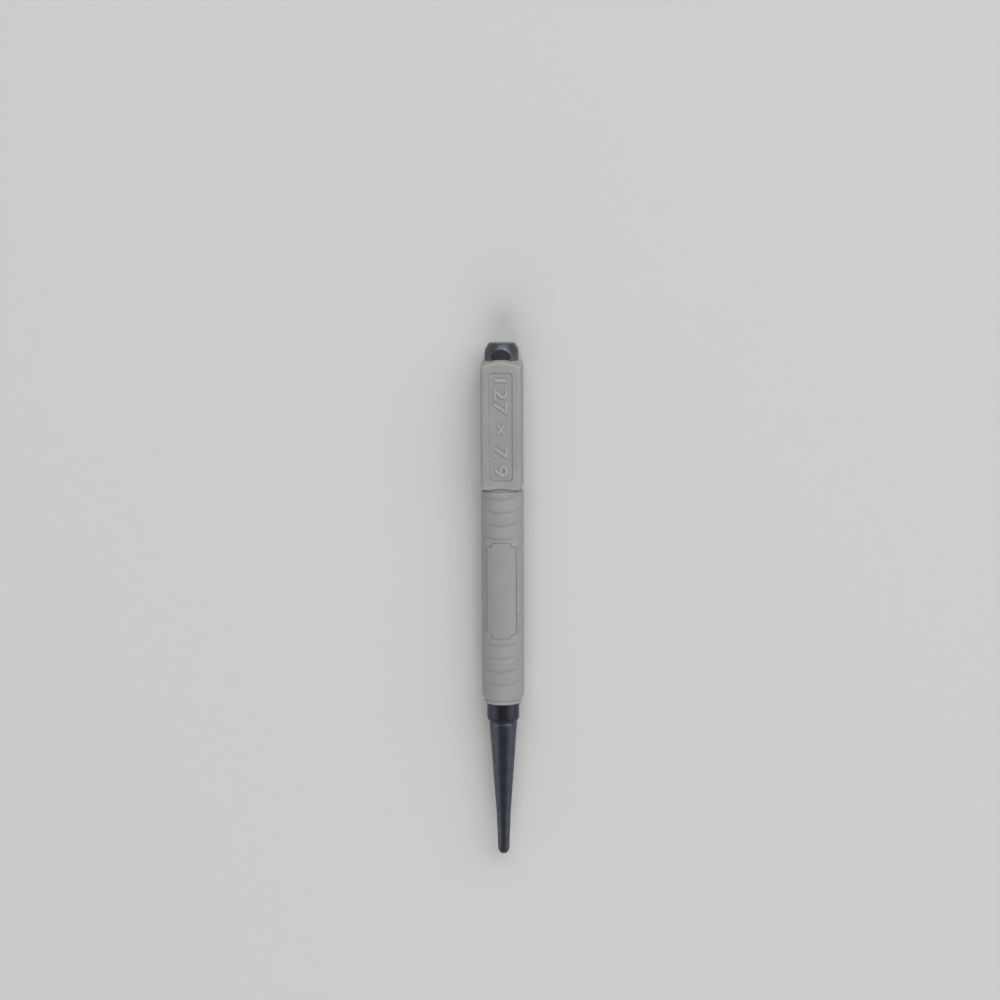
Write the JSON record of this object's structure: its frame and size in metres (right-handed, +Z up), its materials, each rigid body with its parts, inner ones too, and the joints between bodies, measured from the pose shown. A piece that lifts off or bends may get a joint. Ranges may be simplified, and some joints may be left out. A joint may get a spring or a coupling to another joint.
{
  "type": "nail setter",
  "caption": "Hand punch for sinking nail heads: blackened steel with a square striking face and cupped tip, in a grey ribbed grip with a square block against rolling.",
  "frame": {"origin": "on the resting surface, under the middle of the tool's length and width", "axes": "+Y from the tip to the striking face along the tool, +Z up, out of the face that carries the panel and the plate, +X to the right seen from above with the head away"},
  "size_m": [0.0104, 0.127, 0.0105],
  "materials": {
    "blackened_steel": "dark satin oxide",
    "grey_grip": "light grey moulded elastomer, fine matt texture"
  },
  "bodies": {
    "root": {"steel_punch": "blackened_steel", "grip_block": "grey_grip", "ribbed_sleeve": "grey_grip"}
  },
  "joints": []
}
